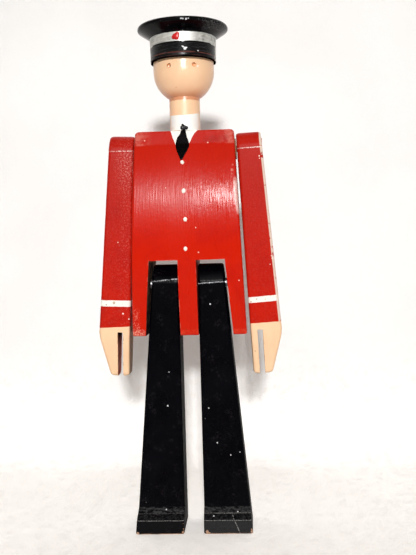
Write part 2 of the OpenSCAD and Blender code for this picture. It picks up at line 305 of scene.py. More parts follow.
def new_group(name: str, inputs: dict[str, object],
              wire: Callable[..., dict[str, Value]]) -> bpy.types.NodeTree:
    """Builds a shader node group.

    Args:
        name: The group's name.
        inputs: Each input's default by name: a number, a colour, or None for a vector.
        wire: Takes the wiring and the inputs in order, and gives the outputs by name.

    Returns:
        The group's tree.
    """
    tree = bpy.data.node_groups.new(name, "ShaderNodeTree")
    for label, default in inputs.items():
        kind = "Color" if isinstance(default, tuple) else "Float"
        socket = tree.interface.new_socket(
            label, in_out="INPUT", socket_type=f"NodeSocket{'Vector' if default is None else kind}")
        if default is not None:
            socket.default_value = default
    w = Wiring(tree)
    entry = w.results("NodeGroupInput", {})
    results = wire(w, *(entry[label] for label in inputs))
    for label, value in results.items():
        kind = "Color" if value.socket.type == "RGBA" else "Float"
        tree.interface.new_socket(label, in_out="OUTPUT", socket_type=f"NodeSocket{kind}")
    w.add("NodeGroupOutput", results)
    return tree


class Effects:
    """The shader node groups that the figure's finishes share."""

    beech_pale = (0.60, 0.36, 0.19, 1.0)
    beech_dark = (0.30, 0.15, 0.07, 1.0)

    def __init__(self) -> None:
        """Builds each group once."""
        self.brush = new_group("brush strokes", {"Point": None, "Across": 0.5, "Along": 9.0},
                               self._brush)
        self.wear = new_group("rubbed arrises", {"Point": None, "Radius": 0.0006, "Amount": 0.5,
                                                 "Patch": 160.0}, self._wear)
        self.band = new_group("painted zone", {"Point": None, "Height": 0.0, "Low": 0.0,
                                               "High": 1.0, "Wander": 0.0002, "Soft": 0.00012},
                              self._band)
        self.specks = new_group("dust and nibs", {"Point": None, "Spacing": 4.0, "Size": 0.08,
                                                  "Share": 0.4}, self._specks)
        self.beech = new_group("bare beech", {"Point": None, "Pale": self.beech_pale,
                                              "Dark": self.beech_dark}, self._beech)
        self.spot = new_group("dab", {"Point": None, "Centre": None, "Radius": 0.0004}, self._spot)

    @staticmethod
    def _brush(w: Wiring, point: Value, across: Value, along: Value) -> dict[str, Value]:
        """Fine ridges that a brush leaves along Z, and a slow mottle."""
        x, y, z = point.axes()
        across = 1 / MM / across
        ridged = w.combined(x * across, y * (across * 0.35), z * (1 / MM / along))
        return {"Ridges": ridged.noise(1.0, 1.5) - 0.5,
                "Breaks": point.noise(210.0),
                "Mottle": point.noise(90.0, 3.0, 0.55, 0.4)}

    @staticmethod
    def _wear(w: Wiring, point: Value, radius: Value, amount: Value,
              patch: Value) -> dict[str, Value]:
        """A mask of arrises that handling has rubbed, in patches."""
        bevel = w.value("ShaderNodeBevel", {"Radius": radius}, samples=6)
        arris = (1.0 - w.measure("DOT_PRODUCT", bevel, w.geometry("Normal"))).ramp(0.004, 0.10)
        worn = point.noise(patch, 4.0, 0.65, 0.4) + point.noise(1900.0) * 0.16
        limit = 0.92 - amount * 0.5
        return {"Mask": (arris * worn).ramp(limit - 0.05, limit)}

    @staticmethod
    def _band(w: Wiring, point: Value, height: Value, low: Value, high: Value, wander: Value,
              soft: Value) -> dict[str, Value]:
        """A zone between two heights whose painted edges wander a little."""
        level = height + (point.noise(420.0, 3.0, 0.55) - 0.5) * (wander * 2.0)
        up = level.ramp(low - soft, low + soft)
        return {"Mask": up * level.ramp(high - soft, high + soft, 1.0, 0.0)}

    @staticmethod
    def _specks(w: Wiring, point: Value, spacing: Value, size: Value,
                share: Value) -> dict[str, Value]:
        """Scattered grains of dust and nibs in the paint."""
        cells = w.results("ShaderNodeTexVoronoi", {"Vector": point, "Scale": 1 / MM / spacing})
        near = cells["Distance"].ramp(size * 0.6, size, 1.0, 0.0)
        chosen = w.value("ShaderNodeSeparateColor", {0: cells["Color"]}) < share
        return {"Mask": near * chosen}

    @staticmethod
    def _beech(w: Wiring, point: Value, pale: Value, dark: Value) -> dict[str, Value]:
        """Bare beech: pale brown with short darker flecks along Z."""
        long_way = point.stretched(1.0, 1.0, 0.12)
        tone = long_way.noise(2600.0, 3.0, 0.6) * 0.6 + long_way.noise(320.0, 2.0, 0.5, 0.8) * 0.5
        return {"Color": tone.ramp(0.35, 0.75).mix(dark, pale)}

    @staticmethod
    def _spot(w: Wiring, point: Value, centre: Value, radius: Value) -> dict[str, Value]:
        """A single small dab with a ragged rim, at a given place."""
        ragged = (point.noise(1500.0) - 0.5) * (radius * 1.1)
        reach = w.measure("DISTANCE", point, centre) + ragged
        return {"Mask": reach.ramp(radius * 0.75, radius, 1.0, 0.0)}


class Finish:
    """Base of the figure's finishes: a Principled shader on Object coordinates."""

    name = "finish"
    nearly_up = (0.02, 0.03, 1.0)

    def __init__(self, effects: Effects) -> None:
        """Builds the material at once.

        Args:
            effects: The shared node groups.
        """
        self.effects = effects
        self.material = bpy.data.materials.new(self.name)
        self.material.use_nodes = True
        self.w = Wiring(self.material.node_tree)
        self.point = self.w.value("ShaderNodeTexCoord", {}, "Object")
        self.x, self.y, self.z = self.point.axes()
        self.shader = self.w.add("ShaderNodeBsdfPrincipled", {})
        surface = Value(self.w, self.shader.outputs[0])
        self.leave = self.w.add("ShaderNodeOutputMaterial", {0: surface})
        self.dress()

    def dress(self) -> None:
        """Wires the finish; each finish has its own."""
        raise NotImplementedError

    def set(self, **values: object) -> None:
        """Feeds the shader's inputs by name, with underscores for spaces."""
        for name, value in values.items():
            self.w.feed(self.shader.inputs[name.replace("_", " ")], value)

    def bump(self, height: Value, depth: float, under: object = None) -> Value:
        """A normal bumped by a height, in metres of depth, on top of another normal."""
        return self.w.value("ShaderNodeBump", {"Distance": depth, "Height": height,
                                               "Normal": under})

    def brush(self, across: float, along: float) -> dict[str, Value]:
        """Brush strokes this wide and this long, in mm."""
        return self.w.group(self.effects.brush, Point=self.point, Across=across, Along=along)

    def dust(self, spacing: float, size: float, share: float) -> Value:
        """The mask of dust, its spacing in mm and its size as a share of that."""
        return self.w.group(self.effects.specks, Point=self.point, Spacing=spacing, Size=size,
                            Share=share)["Mask"]

    def rubbed(self, radius: float, amount: float, patch: float = 160.0) -> Value:
        """The mask of rubbed arrises, the radius in mm."""
        return self.w.group(self.effects.wear, Point=self.point, Radius=radius * MM, Amount=amount,
                            Patch=patch)["Mask"]

    def dabs(self, *places: Dab) -> Value:
        """The mask of dabs at places given in mm, each with its radius."""
        return reduce(or_, [self.w.group(self.effects.spot, Point=self.point,
                                         Centre=(x * MM, y * MM, z * MM), Radius=r * MM)["Mask"]
                            for x, y, z, r in places])

    def zone(self, height: Value, low: float, high: float, wander: float = 0.2,
             soft: float = 0.12) -> Value:
        """A painted zone between two heights, all in mm."""
        return self.w.group(self.effects.band, Point=self.point, Height=height, Low=low * MM,
                            High=high * MM, Wander=wander * MM, Soft=soft * MM)["Mask"]

    def patches(self, scale: float, low: float, high: float, detail: float = 3.0,
                roughness: float = 0.6) -> Value:
        """A mask of cloudy patches."""
        return self.point.noise(scale, detail, roughness).ramp(low, high)

    def drift(self, scale: float, size: float) -> Value:
        """A small wander to both sides of zero, in metres."""
        return (self.point.noise(scale) - 0.5) * size

    def front_half(self) -> Value:
        """The mask of the piece's front half."""
        return self.y.ramp(0.0, -0.004)

    def facing(self, kind: str = "True Normal") -> tuple[Value, ...]:
        """The three parts of the way that the surface faces."""
        return self.w.geometry(kind).axes()

    def stroke(self) -> Value:
        """The direction across the brush strokes, which run along the piece's own Z."""
        along = self.w.value("ShaderNodeVectorTransform", {0: self.nearly_up},
                             vector_type="VECTOR", convert_from="OBJECT", convert_to="WORLD")
        across = self.w.vector("CROSS_PRODUCT", self.w.geometry("Normal"), along)
        return self.w.vector("NORMALIZE", across)

    def line(self, points: Sequence[tuple[float, float]], along: Value) -> Number:
        """A value read from a broken line, in mm, at a place along it.

        Args:
            points: Pairs of place and value, in mm, in rising order of place.
            along: The place, in metres.

        Returns:
            The value in metres.
        """
        total: Number = points[0][1] * MM
        for (a, va), (b, vb) in zip(points, points[1:]):
            total = total + along.ramp(a * MM, b * MM, 0.0, (vb - va) * MM, "LINEAR")
        return total


class JacketPaint(Finish):
    """Red enamel with the white shirt front, bare slots and a worn hem."""

    name = "jacket red enamel"
    shirt_left = ((159.0, -1.3), (167.3, -3.85), (169.9, -4.84), (173.3, -5.95))
    shirt_right = ((159.0, -1.1), (167.3, 2.27), (168.5, 2.81), (170.2, 3.48), (171.7, 4.43),
                   (172.6, 5.3), (173.4, 6.3))
    # Inner edge of the painted highlight on the left front edge: height and x, in mm
    shine_inner = ((136.0, 21.6), (146.0, 20.4), (152.0, 20.2))
    chips = ((20.2, -12.6, 155.2, 0.75), (20.4, -12.3, 157.4, 0.5), (20.0, -12.8, 153.6, 0.4))
    pale_specks = ((4.3, -14.7, 131.3, 0.32), (5.2, -14.5, 120.85, 0.34), (10.1, -9.9, 167.3, 0.34),
                   (-16.9, -9.1, 169.0, 0.34), (-8.0, -13.5, 148.4, 0.22),
                   (21.9, -13.3, 108.5, 0.34))
    slot_roof = 0.1168
    slot_top = 0.11755

    def dress(self) -> None:
        """Wires the red with its painted shade and highlights, the shirt's V, the slots' insides,
        wear and brush marks.
        """
        brush = self.brush(0.5, 9.0)
        colour = self.shirt_front().mix(self.red(brush["Mottle"]), srgb(250, 247, 238))
        in_slot = self.slot_walls()
        ridges = (brush["Ridges"] * brush["Breaks"].ramp(0.35, 0.6, 0.3, 1.0)
                  * self.x.ramp(-0.006, 0.003, 0.4, 1.0))
        normal = self.bump(self.point.noise(700.0, 2.0, 0.6), 0.00002, self.bump(ridges, 0.00016))
        dull = abs(self.x + 0.0035).ramp(0.001, 0.007, 0.05, 0.0)
        dull = dull + self.x.ramp(0.004, 0.012, 0.0, -0.03)
        rough = brush["Mottle"] * 0.12 + (dull + 0.19)
        self.set(Base_Color=in_slot.mix(self.worn(colour), self.slot_tone()), Normal=normal,
                 Roughness=in_slot.blend(rough, 0.85), Specular_IOR_Level=0.14, Anisotropic=0.6,
                 Tangent=self.stroke())

    def red(self, mottle: Value) -> Value:
        """The red, darker towards the shoulders as painted shade, with the brush's slow mottle."""
        # Painted shade: the red is darker towards the shoulders and lighter towards the hem
        red = self.z.ramp(0.115, 0.167).mix(srgb(207, 28, 2), srgb(189, 28, 9))
        red = mottle.ramp(0.4, 0.75, 0.0, 0.5).mix(red, srgb(188, 16, 4))
        # Painted highlight: a pink sheen at the outer ends of the shoulder slope
        ends = (self.z.ramp(0.1664, 0.1670) * abs(self.x).ramp(0.013, 0.0205)
                * self.patches(330.0, 0.35, 0.6))
        red = (ends * 0.42).mix(red, srgb(226, 140, 124))
        stain = (self.zone(self.z, 167.4, 170.6, 0.5, 0.9) * self.zone(self.x, 8.5, 18.6, 1.5, 1.2)
                 * self.patches(110.0, 0.3, 0.7, 2.0, 0.5) * self.front_half())
        return (stain * 0.5).mix(red, srgb(150, 12, 2))

    def shirt_front(self) -> Value:
        """The mask of the white V between the jacket's open edges."""
        front = (self.y < -0.004) * (self.z > 0.1625)
        left, right = (self.line(edge, self.z) for edge in (self.shirt_left, self.shirt_right))
        across = self.x + self.drift(500.0, 0.0002)
        return ((across - left).ramp(-0.0001, 0.0001) * (right - across).ramp(-0.0001, 0.0001)
                * front)

    def slot_walls(self) -> Value:
        """The mask of the slots' inner walls and roofs, picked by the way they face."""
        across = abs(self.x)
        return ((self.z < self.slot_top) * across.ramp(0.00385, 0.00395)
                * across.ramp(0.0190, 0.0192, 1.0, 0.0) * (abs(self.facing()[1]) < 0.2))

    def slot_tone(self) -> Value:
        """The dark smeared paint and bare wood inside the slots."""
        w = self.w
        bare = w.group(self.effects.beech, Point=self.point)["Color"]
        smear = self.patches(240.0, 0.42, 0.62)
        drips = self.point.stretched(1.0, 1.0, 0.4).noise(900.0, 3.0, 0.6).ramp(0.6, 0.68)
        tone = smear.mix(srgb(34, 12, 8), w.mix(0.6, bare, srgb(24, 10, 8)))
        tone = (drips * 0.5).mix(tone, srgb(190, 60, 34))
        return (self.z > self.slot_roof).mix(tone, w.mix(0.35, bare, srgb(120, 84, 76)))

    def worn(self, colour: Value) -> Value:
        """Rubs the arrises, sets the specks and chips that the paint shows, and paints a highlight
        along the left front edge.
        """
        front = self.front_half()
        fine = self.point.noise(1500.0, 3.0, 0.65)
        patch = self.point.noise(320.0, 3.0, 0.6)
        hem = self.z.ramp(0.0880, 0.0868) * patch.ramp(0.36, 0.58)
        colour = (hem * 0.4).mix(colour, srgb(232, 84, 58))
        nicks = self.z.ramp(0.0892, 0.0870) * fine.ramp(0.60, 0.66)
        colour = (nicks * 0.6).mix(colour, srgb(122, 44, 26))
        corner = (self.x.ramp(-0.0205, -0.0222) * self.z.ramp(0.1005, 0.0935)
                  * self.patches(2600.0, 0.54, 0.66, 2.0) * patch.ramp(0.32, 0.48) * front)
        tip = (self.x.ramp(-0.0188, -0.0205) * self.z.ramp(0.0885, 0.0870)
               * fine.ramp(0.44, 0.58) * front)
        colour = ((corner | tip) * 0.7).mix(colour, srgb(244, 176, 152))
        colour = (self.rubbed(0.7, 0.5) * 0.6).mix(colour, srgb(236, 150, 128))
        # Painted highlight: a pale streak on the front of the left edge
        shine = ((self.x - self.line(self.shine_inner, self.z)).ramp(0.0, 0.0006)
                 * self.zone(self.z, 137.0, 151.5, 3.0, 1.6)
                 * self.facing("Normal")[1].ramp(-0.25, -0.6) * fine.ramp(0.3, 0.55, 0.5, 1.0))
        colour = (shine * 0.6).mix(colour, srgb(252, 226, 216))
        chips = self.dabs(*self.chips) * fine.ramp(0.42, 0.56, 0.1, 0.7)
        colour = chips.mix(colour, srgb(226, 150, 132))
        return (self.dabs(*self.pale_specks) * 0.9).mix(colour, srgb(248, 204, 188))


@dataclass(frozen=True)
class SleeveMarks:
    """Where one sleeve's painted lines run and where its small marks are, in mm.

    The heights are those at the line's inner end, and the slopes are rise over run.
    """

    start: float
    stripe_low: float
    stripe_high: float
    stripe_slope: float
    hand_line: float
    hand_slope: float
    crease: tuple[tuple[float, float], tuple[float, float]]
    specular: float
    nibs: tuple[Dab, ...]
    stains: tuple[Dab, ...]


SLEEVE_MARKS = {
    Side.LEFT: SleeveMarks(
        start=25.5, stripe_low=98.2, stripe_high=100.7, stripe_slope=0.070, hand_line=89.35,
        hand_slope=0.052, crease=((22.6, 164.72), (31.3, 165.15)), specular=0.045,
        nibs=((35.4, -6.5, 114.8, 0.26), (31.8, -6.7, 161.3, 0.34), (31.9, -6.6, 160.3, 0.26),
              (36.4, -6.4, 117.5, 0.42), (36.1, -6.5, 118.4, 0.3)),
        stains=((28.1, -5.5, 77.3, 0.3), (37.4, -5.4, 73.6, 0.5), (37.0, -5.3, 72.6, 0.4),
                (26.8, -6.35, 98.75, 0.4), (29.3, -6.3, 99.9, 0.36))),
    Side.RIGHT: SleeveMarks(
        start=25.7, stripe_low=97.8, stripe_high=100.45, stripe_slope=0.045, hand_line=89.15,
        hand_slope=-0.020, crease=((23.0, 165.12), (32.3, 165.22)), specular=0.08,
        nibs=((-30.2, -6.6, 126.0, 0.28), (-29.0, -6.3, 94.9, 0.42), (-26.5, -6.1, 92.5, 0.42)),
        stains=((-32.8, -6.4, 99.7, 0.6), (-36.2, -6.4, 98.9, 0.4))),
}


class SleevePaint(Finish):
    """Red sleeves with a white cuff stripe and a bare-skin hand."""

    name = "sleeve red enamel"
    cut_height = 0.0774
    cut_lean = 0.0403
    cut_middle = 0.03076
    cut_reach = 0.00135
    cut_root = 0.0885

    def __init__(self, effects: Effects, side: Side) -> None:
        """Keeps the side, whose painted lines differ, and builds the finish."""
        self.side = side
        self.marks = SLEEVE_MARKS[side]
        self.name = f"{side.word} sleeve red enamel"
        super().__init__(effects)

    def dress(self) -> None:
        """Wires the sleeve, stripe, hand, finger slot, wear and brush marks."""
        marks = self.marks
        self.out = self.x * float(self.side.value)
        brush = self.brush(0.5, 4.0)
        mottle = brush["Mottle"]
        grain = self.point.noise(1500.0, 3.0, 0.7)
        stripe = self.zone(self.tilted(marks.stripe_slope), marks.stripe_low, marks.stripe_high,
                           0.18, 0.1)
        hand = self.zone(self.tilted(marks.hand_slope), 0.0, marks.hand_line, 0.16, 0.1)
        skin = mottle.ramp(0.3, 0.75).mix(srgb(255, 215, 174), srgb(251, 206, 165))
        colour = hand.mix(stripe.mix(self.red(mottle, grain), self.stripe_white()), skin)
        in_slot = self.finger_slot()
        colour = self.worn(in_slot.mix(colour, self.slot_tone()), hand, 1.0 - in_slot)
        normal = self.bump(grain, 0.00006, self.bump(brush["Ridges"] * 0.6, 0.00009))
        rough = (hand | stripe).blend(0.33, 0.42)
        self.set(Base_Color=colour, Roughness=in_slot.blend(rough, 0.9), Normal=normal,
                 Anisotropic=0.3, Tangent=self.stroke(), Specular_IOR_Level=marks.specular)

    def tilted(self, slope: float) -> Value:
        """The height less a slope's rise from the line's inner end."""
        return self.z - (self.out - self.marks.start * MM) * slope

    def red(self, mottle: Value, grain: Value) -> Value:
        """The sleeve's red, grainy and darker towards the shoulder as painted shade, with a painted
        sheen by the right shoulder and painted glints on the crease.
        """
        # Painted shade: the red is darker towards the shoulder
        red = self.z.ramp(0.100, 0.160).mix(srgb(199, 30, 12), srgb(182, 29, 15))
        red = mottle.ramp(0.4, 0.75, 0.0, 0.5).mix(red, srgb(172, 22, 14))
        red = abs(grain - 0.5).ramp(0.05, 0.16, 0.0, 0.4).mix(red, srgb(150, 20, 14))
        on_right = self.side is Side.RIGHT
        pale = self.out.ramp(0.032, 0.025, 0.12, 0.4) if on_right else 0.1
        red = (grain.ramp(0.52, 0.68) * pale).mix(red, srgb(232, 122, 108))
        # Painted sheen: a pale pink bloom of light near the right shoulder
        if on_right:
            red = (self.bloom(grain) * 0.45).mix(red, srgb(240, 168, 158))
        # Painted highlight: broken white glints along the crease
        level = self.line(self.marks.crease, self.out)
        near = abs(self.z - level).ramp(0.00032, 0.00012)
        start, end = sorted(out * self.side.value * MM for out, _ in self.marks.crease)
        front = (self.y < -0.0055) * self.out.ramp(0.0219, 0.0224)
        sparkle = (near * self.patches(1900.0, 0.42, 0.58, 2.0, 0.7)
                   * self.x.ramp(start, end, 0.45, 1.0) * front)
        return sparkle.mix(red, srgb(255, 236, 228))

    def bloom(self, grain: Value) -> Value:
        """The mask of the painted sheen near the shoulder, a pale pink bloom of light."""
        return (self.out.ramp(0.0325, 0.0240) * self.z.ramp(0.1655, 0.1640)
                * self.z.ramp(0.140, 0.162) * grain.ramp(0.46, 0.66) * self.front_half())

    def stripe_white(self) -> Value:
        """The cuff stripe's white, with thin yellowed patches."""
        thin = self.patches(620.0, 0.58, 0.72) * 0.8
        return thin.mix(srgb(251, 249, 240), srgb(226, 214, 160))

    def finger_slot(self) -> Value:
        """The mask of the sawn faces between the fingers."""
        across = self.out + (self.z - self.cut_height) * self.cut_lean
        near = abs(across - self.cut_middle) < self.cut_reach
        return (abs(self.facing()[1]) < 0.02) * near * (self.z < self.cut_root)

    def slot_tone(self) -> Value:
        """The sawn faces' skin paint in painted shade: red-brown, nearly black at the slot's root.
        """
        smear = self.point.stretched(1.0, 1.0, 0.3).noise(620.0, 3.0, 0.6).ramp(0.4, 0.62)
        tone = smear.mix(srgb(176, 84, 70), srgb(226, 172, 152))
        return self.z.ramp(0.0815, 0.0860).mix(tone, srgb(34, 12, 10))

    def worn(self, colour: Value, hand: Value, outside: Value) -> Value:
        """Rubs the arrises, bares the left sleeve's outer one, paints shade on the hands' inner
        faces, and sets nibs and stains.
        """
        tint = hand.mix(srgb(240, 176, 156), srgb(176, 112, 76))
        colour = (self.rubbed(0.7, 0.56) * outside * 0.8).mix(colour, tint)
        facing = self.facing("Normal")
        # Painted shade on the hand's inner face, which faces the jacket
        inner = hand * outside * (facing[0] * float(self.side.value)).ramp(-0.6, -0.9)
        colour = (inner * 0.75).mix(colour, srgb(126, 94, 74))
        if self.side is Side.LEFT:
            rounded = (facing[0].ramp(0.10, 0.3) * facing[1].ramp(-0.1, -0.3) * (1.0 - hand)
                       * self.patches(300.0, 0.34, 0.44))
            colour = (rounded * 0.85).mix(colour, srgb(240, 222, 204))
        colour = (self.dabs(*self.marks.nibs) * 0.92).mix(colour, srgb(251, 232, 216))
        return (self.dabs(*self.marks.stains) * 0.6).mix(colour, srgb(166, 120, 62))


class SkinPaint(Finish):
    """The head's flesh paint, the white collar and the dark drilled eyes."""

    name = "flesh paint"
    collar_top = ((-6.6, 180.15), (-3.0, 179.85), (0.4, 179.8), (3.4, 180.2), (6.5, 180.9))
    nibs = ((-2.7, -10.1, 191.0, 0.3), (3.4, -12.6, 192.8, 0.2), (-8.3, -9.6, 192.6, 0.2))
    scratches = ((-4.7, -4.75, 187.1, 0.3), (-4.2, -5.2, 186.3, 0.24), (-5.2, -4.2, 187.6, 0.22))
    eye_wells = ((-5.4, -10.8, 200.0, 1.15), (5.4, -10.8, 199.9, 1.15))
    eye_darks = ((-4.9, -11.3, 199.7, 0.72), (-5.35, -11.5, 200.35, 0.5), (4.6, -11.6, 200.4, 0.42),
                 (5.3, -11.3, 200.75, 0.4), (6.0, -11.1, 200.5, 0.34))
    eye_glint = (6.8, -11.25, 199.3, 0.55)

    def dress(self) -> None:
        """Wires the flesh with painted shade under the chin, the collar, the eyes and a little
        grime.
        """
        brush = self.brush(0.6, 3.0)
        skin = brush["Mottle"].ramp(0.3, 0.75).mix(srgb(255, 214, 173), srgb(254, 205, 162))
        radius = self.w.measure("LENGTH", self.point.stretched(1.0, 1.0, 0.0))
        # Painted shade under the chin, where the head meets the neck
        under = (self.z.ramp(0.1860, 0.1925, 1.0, 0.0) * self.z.ramp(0.1861, 0.1866)
                 * radius.ramp(0.0128, 0.0074))
        skin = (under * 0.8).mix(skin, srgb(206, 122, 76))
        colour = self.eyes(self.collar().mix(skin, self.collar_white()))
        grime = self.dust(4.5, 0.07, 0.35) | self.dabs(*self.nibs)
        colour = (grime * 0.55).mix(colour, srgb(210, 138, 90))
        colour = (self.dabs(*self.scratches) * 0.6).mix(colour, srgb(128, 76, 48))
        normal = self.bump(brush["Ridges"], 0.00004)
        normal = self.bump(self.point.noise(420.0, 3.0, 0.55), 0.00009, normal)
        self.set(Base_Color=colour, Roughness=self.z.ramp(0.1850, 0.1865, 0.42, 0.28),
                 Normal=normal, Specular_IOR_Level=0.45)

    def collar(self) -> Value:
        """The mask of the collar, whose upper line rises to the left."""
        height = self.z - self.line(self.collar_top, self.x) + 0.18
        return self.zone(height, 100.0, 180.0, 0.18, 0.1)

    def collar_white(self) -> Value:
        """The collar's white, in warm cream at its sides as painted shade, and tan where it meets
        the jacket.
        """
        white = self.patches(260.0, 0.5, 0.8).mix(srgb(253, 252, 246), srgb(246, 240, 214))
        # Painted shade: warm cream at the neck's round sides
        sides = abs(self.x).ramp(0.0052, 0.0064)
        white = (sides * 0.7).mix(white, srgb(246, 222, 194))
        joint = self.zone(self.z, 173.1, 173.45, 0.15, 0.1) * self.x.ramp(-0.0015, -0.0022)
        return (joint * 0.7).mix(white, srgb(206, 158, 108))

    def eyes(self, colour: Value) -> Value:
        """Darkens the two drilled eyes, each in its own way, and paints a highlight by the right
        one.
        """
        colour = (self.dabs(*self.eye_wells) * 0.7).mix(colour, srgb(232, 150, 84))
        colour = (self.dabs(*self.eye_darks) * 0.92).mix(colour, srgb(82, 32, 12))
        # Painted highlight beside the right eye
        return (self.dabs(self.eye_glint) * 0.85).mix(colour, srgb(255, 244, 230))


class CapPaint(Finish):
    """Black enamel crown over a silver band."""

    name = "cap black and silver"
    lap_top = ((-7.6, 209.45), (-6.6, 209.0), (-6.1, 208.1), (-5.7, 206.2), (-5.4, 203.0),
               (-5.3, 200.0))
    band_nick = (3.35, -14.0, 211.6, 0.26)
    # Painted highlights on the crown's rim: x, y, z and radius, in mm
    glints = ((0.9, -19.6, 217.1, 0.34), (1.7, -19.55, 216.95, 0.32), (3.0, -19.35, 216.9, 0.46),
              (3.9, -19.2, 217.1, 0.3))
    band_radius = 0.0148
    specular = 0.11

    def dress(self) -> None:
        """Wires the black, the band with its brushed silver and a painted highlight, and chips."""
        down = self.facing()[2]
        lap = (self.line(self.lap_top, self.y) - self.z).ramp(-0.0001, 0.0001)
        band = self.zone(self.z, 190.0, 213.2, 0.2, 0.1) * (1.0 - lap) * down.ramp(-0.6, -0.3)
        around = self.w.math("ARCTAN2", self.x, self.y * -1.0) * self.band_radius
        streak = self.w.combined(around * 0.16, 0.0, self.z).noise(1300.0, 3.0, 0.6)
        cloud = self.point.noise(170.0, 3.0, 0.6, 0.3)
        tone = (streak * 0.5 + cloud * 0.6).ramp(0.4, 0.75)
        silver = tone.mix(srgb(170, 170, 164), srgb(228, 228, 222))
        smudge = self.x.ramp(0.0035, 0.0085) * self.patches(420.0, 0.5, 0.62, 4.0, 0.7)
        silver = (smudge * 0.55).mix(silver, srgb(104, 106, 104))
        # Painted highlight: the silver whitens just right of the band's middle
        band_highlight = abs(self.x - 0.0030).ramp(0.0050, 0.0015, 0.0, 0.7)
        silver = band_highlight.mix(silver, srgb(246, 246, 242))
        silver = (self.dabs(self.band_nick) * 0.7).mix(silver, srgb(90, 90, 90))
        ridges = band.blend(self.point.noise(420.0, 3.0, 0.55, 0.4), streak)
        self.set(Base_Color=band.mix(self.black(cloud), silver), Metallic=band * 0.35,
                 Roughness=band.blend(0.15, 0.42), Normal=self.bump(ridges, 0.00006))
        # The plain value stays in the socket, where a linked one isn't read
        self.set(Specular_IOR_Level=self.specular)
        self.set(Specular_IOR_Level=down.ramp(-0.95, -0.8, 0.0, self.specular))

    def black(self, cloud: Value) -> Value:
        """The crown's black, with painted glints and sparkle on the rim, fine dust and rubbed
        places.
        """
        black = cloud.ramp(0.4, 0.7).mix(srgb(2, 2, 4), srgb(8, 8, 10))
        black = (self.dust(2.6, 0.07, 0.4) * 0.5).mix(black, srgb(112, 112, 114))
        # Painted sparkle: grey flecks along the rim's top on the figure's left
        rim = (self.zone(self.z, 214.6, 217.6, 0.5, 0.5) * self.y.ramp(-0.002, -0.006)
               * self.x.ramp(0.007, 0.013) * self.patches(2100.0, 0.5, 0.62, 3.0, 0.7))
        black = (rim * 0.4).mix(black, srgb(140, 140, 140))
        rubbed = self.rubbed(0.6, 0.44) * self.z.ramp(0.214, 0.216, 0.15, 0.7)
        black = rubbed.mix(black, srgb(150, 140, 128))
        # Painted highlights: the white glints on the rim
        return (self.dabs(*self.glints) * 0.85).mix(black, srgb(226, 226, 230))


class PeakPaint(Finish):
    """The peak's black paint, streaked along its turn and worn on its arris."""

    name = "peak black enamel"
    # Painted highlights on the peak's face: x, y, z and radius, in mm
    glints = ((1.95, -15.6, 205.75, 0.78), (1.2, -15.5, 206.6, 0.5), (2.6, -15.45, 206.25, 0.42),
              (0.75, -15.45, 206.95, 0.3), (7.27, -14.1, 204.97, 0.34))
    specular = 0.14

    def dress(self) -> None:
        """Wires the black, its streaks, the brown worn arris and painted glints."""
        streak = self.point.stretched(0.12, 0.12, 1.0).noise(1700.0, 3.0, 0.6)
        black = streak.ramp(0.45, 0.75).mix(srgb(8, 8, 10), srgb(40, 40, 42))
        black = (self.dust(2.2, 0.07, 0.4) * 0.6).mix(black, srgb(120, 118, 116))
        arris = self.zone(self.z, 204.1, 204.6, 0.1, 0.12) * self.patches(350.0, 0.3, 0.55)
        worn = arris | self.rubbed(0.5, 0.7, 260.0) * self.z.ramp(0.2062, 0.2052)
        colour = (worn * 0.75).mix(black, srgb(104, 54, 46))
        # Painted highlights: the white glints on the peak
        colour = (self.dabs(*self.glints) * 0.95).mix(colour, srgb(246, 246, 246))
        self.set(Base_Color=colour, Roughness=streak.ramp(0.3, 0.7, 0.16, 0.3) | arris * 0.6,
                 Normal=self.bump(streak, 0.00008), Specular_IOR_Level=self.specular)
        self.set(Specular_IOR_Level=self.facing()[2].ramp(-0.9, -0.7, 0.0, self.specular))


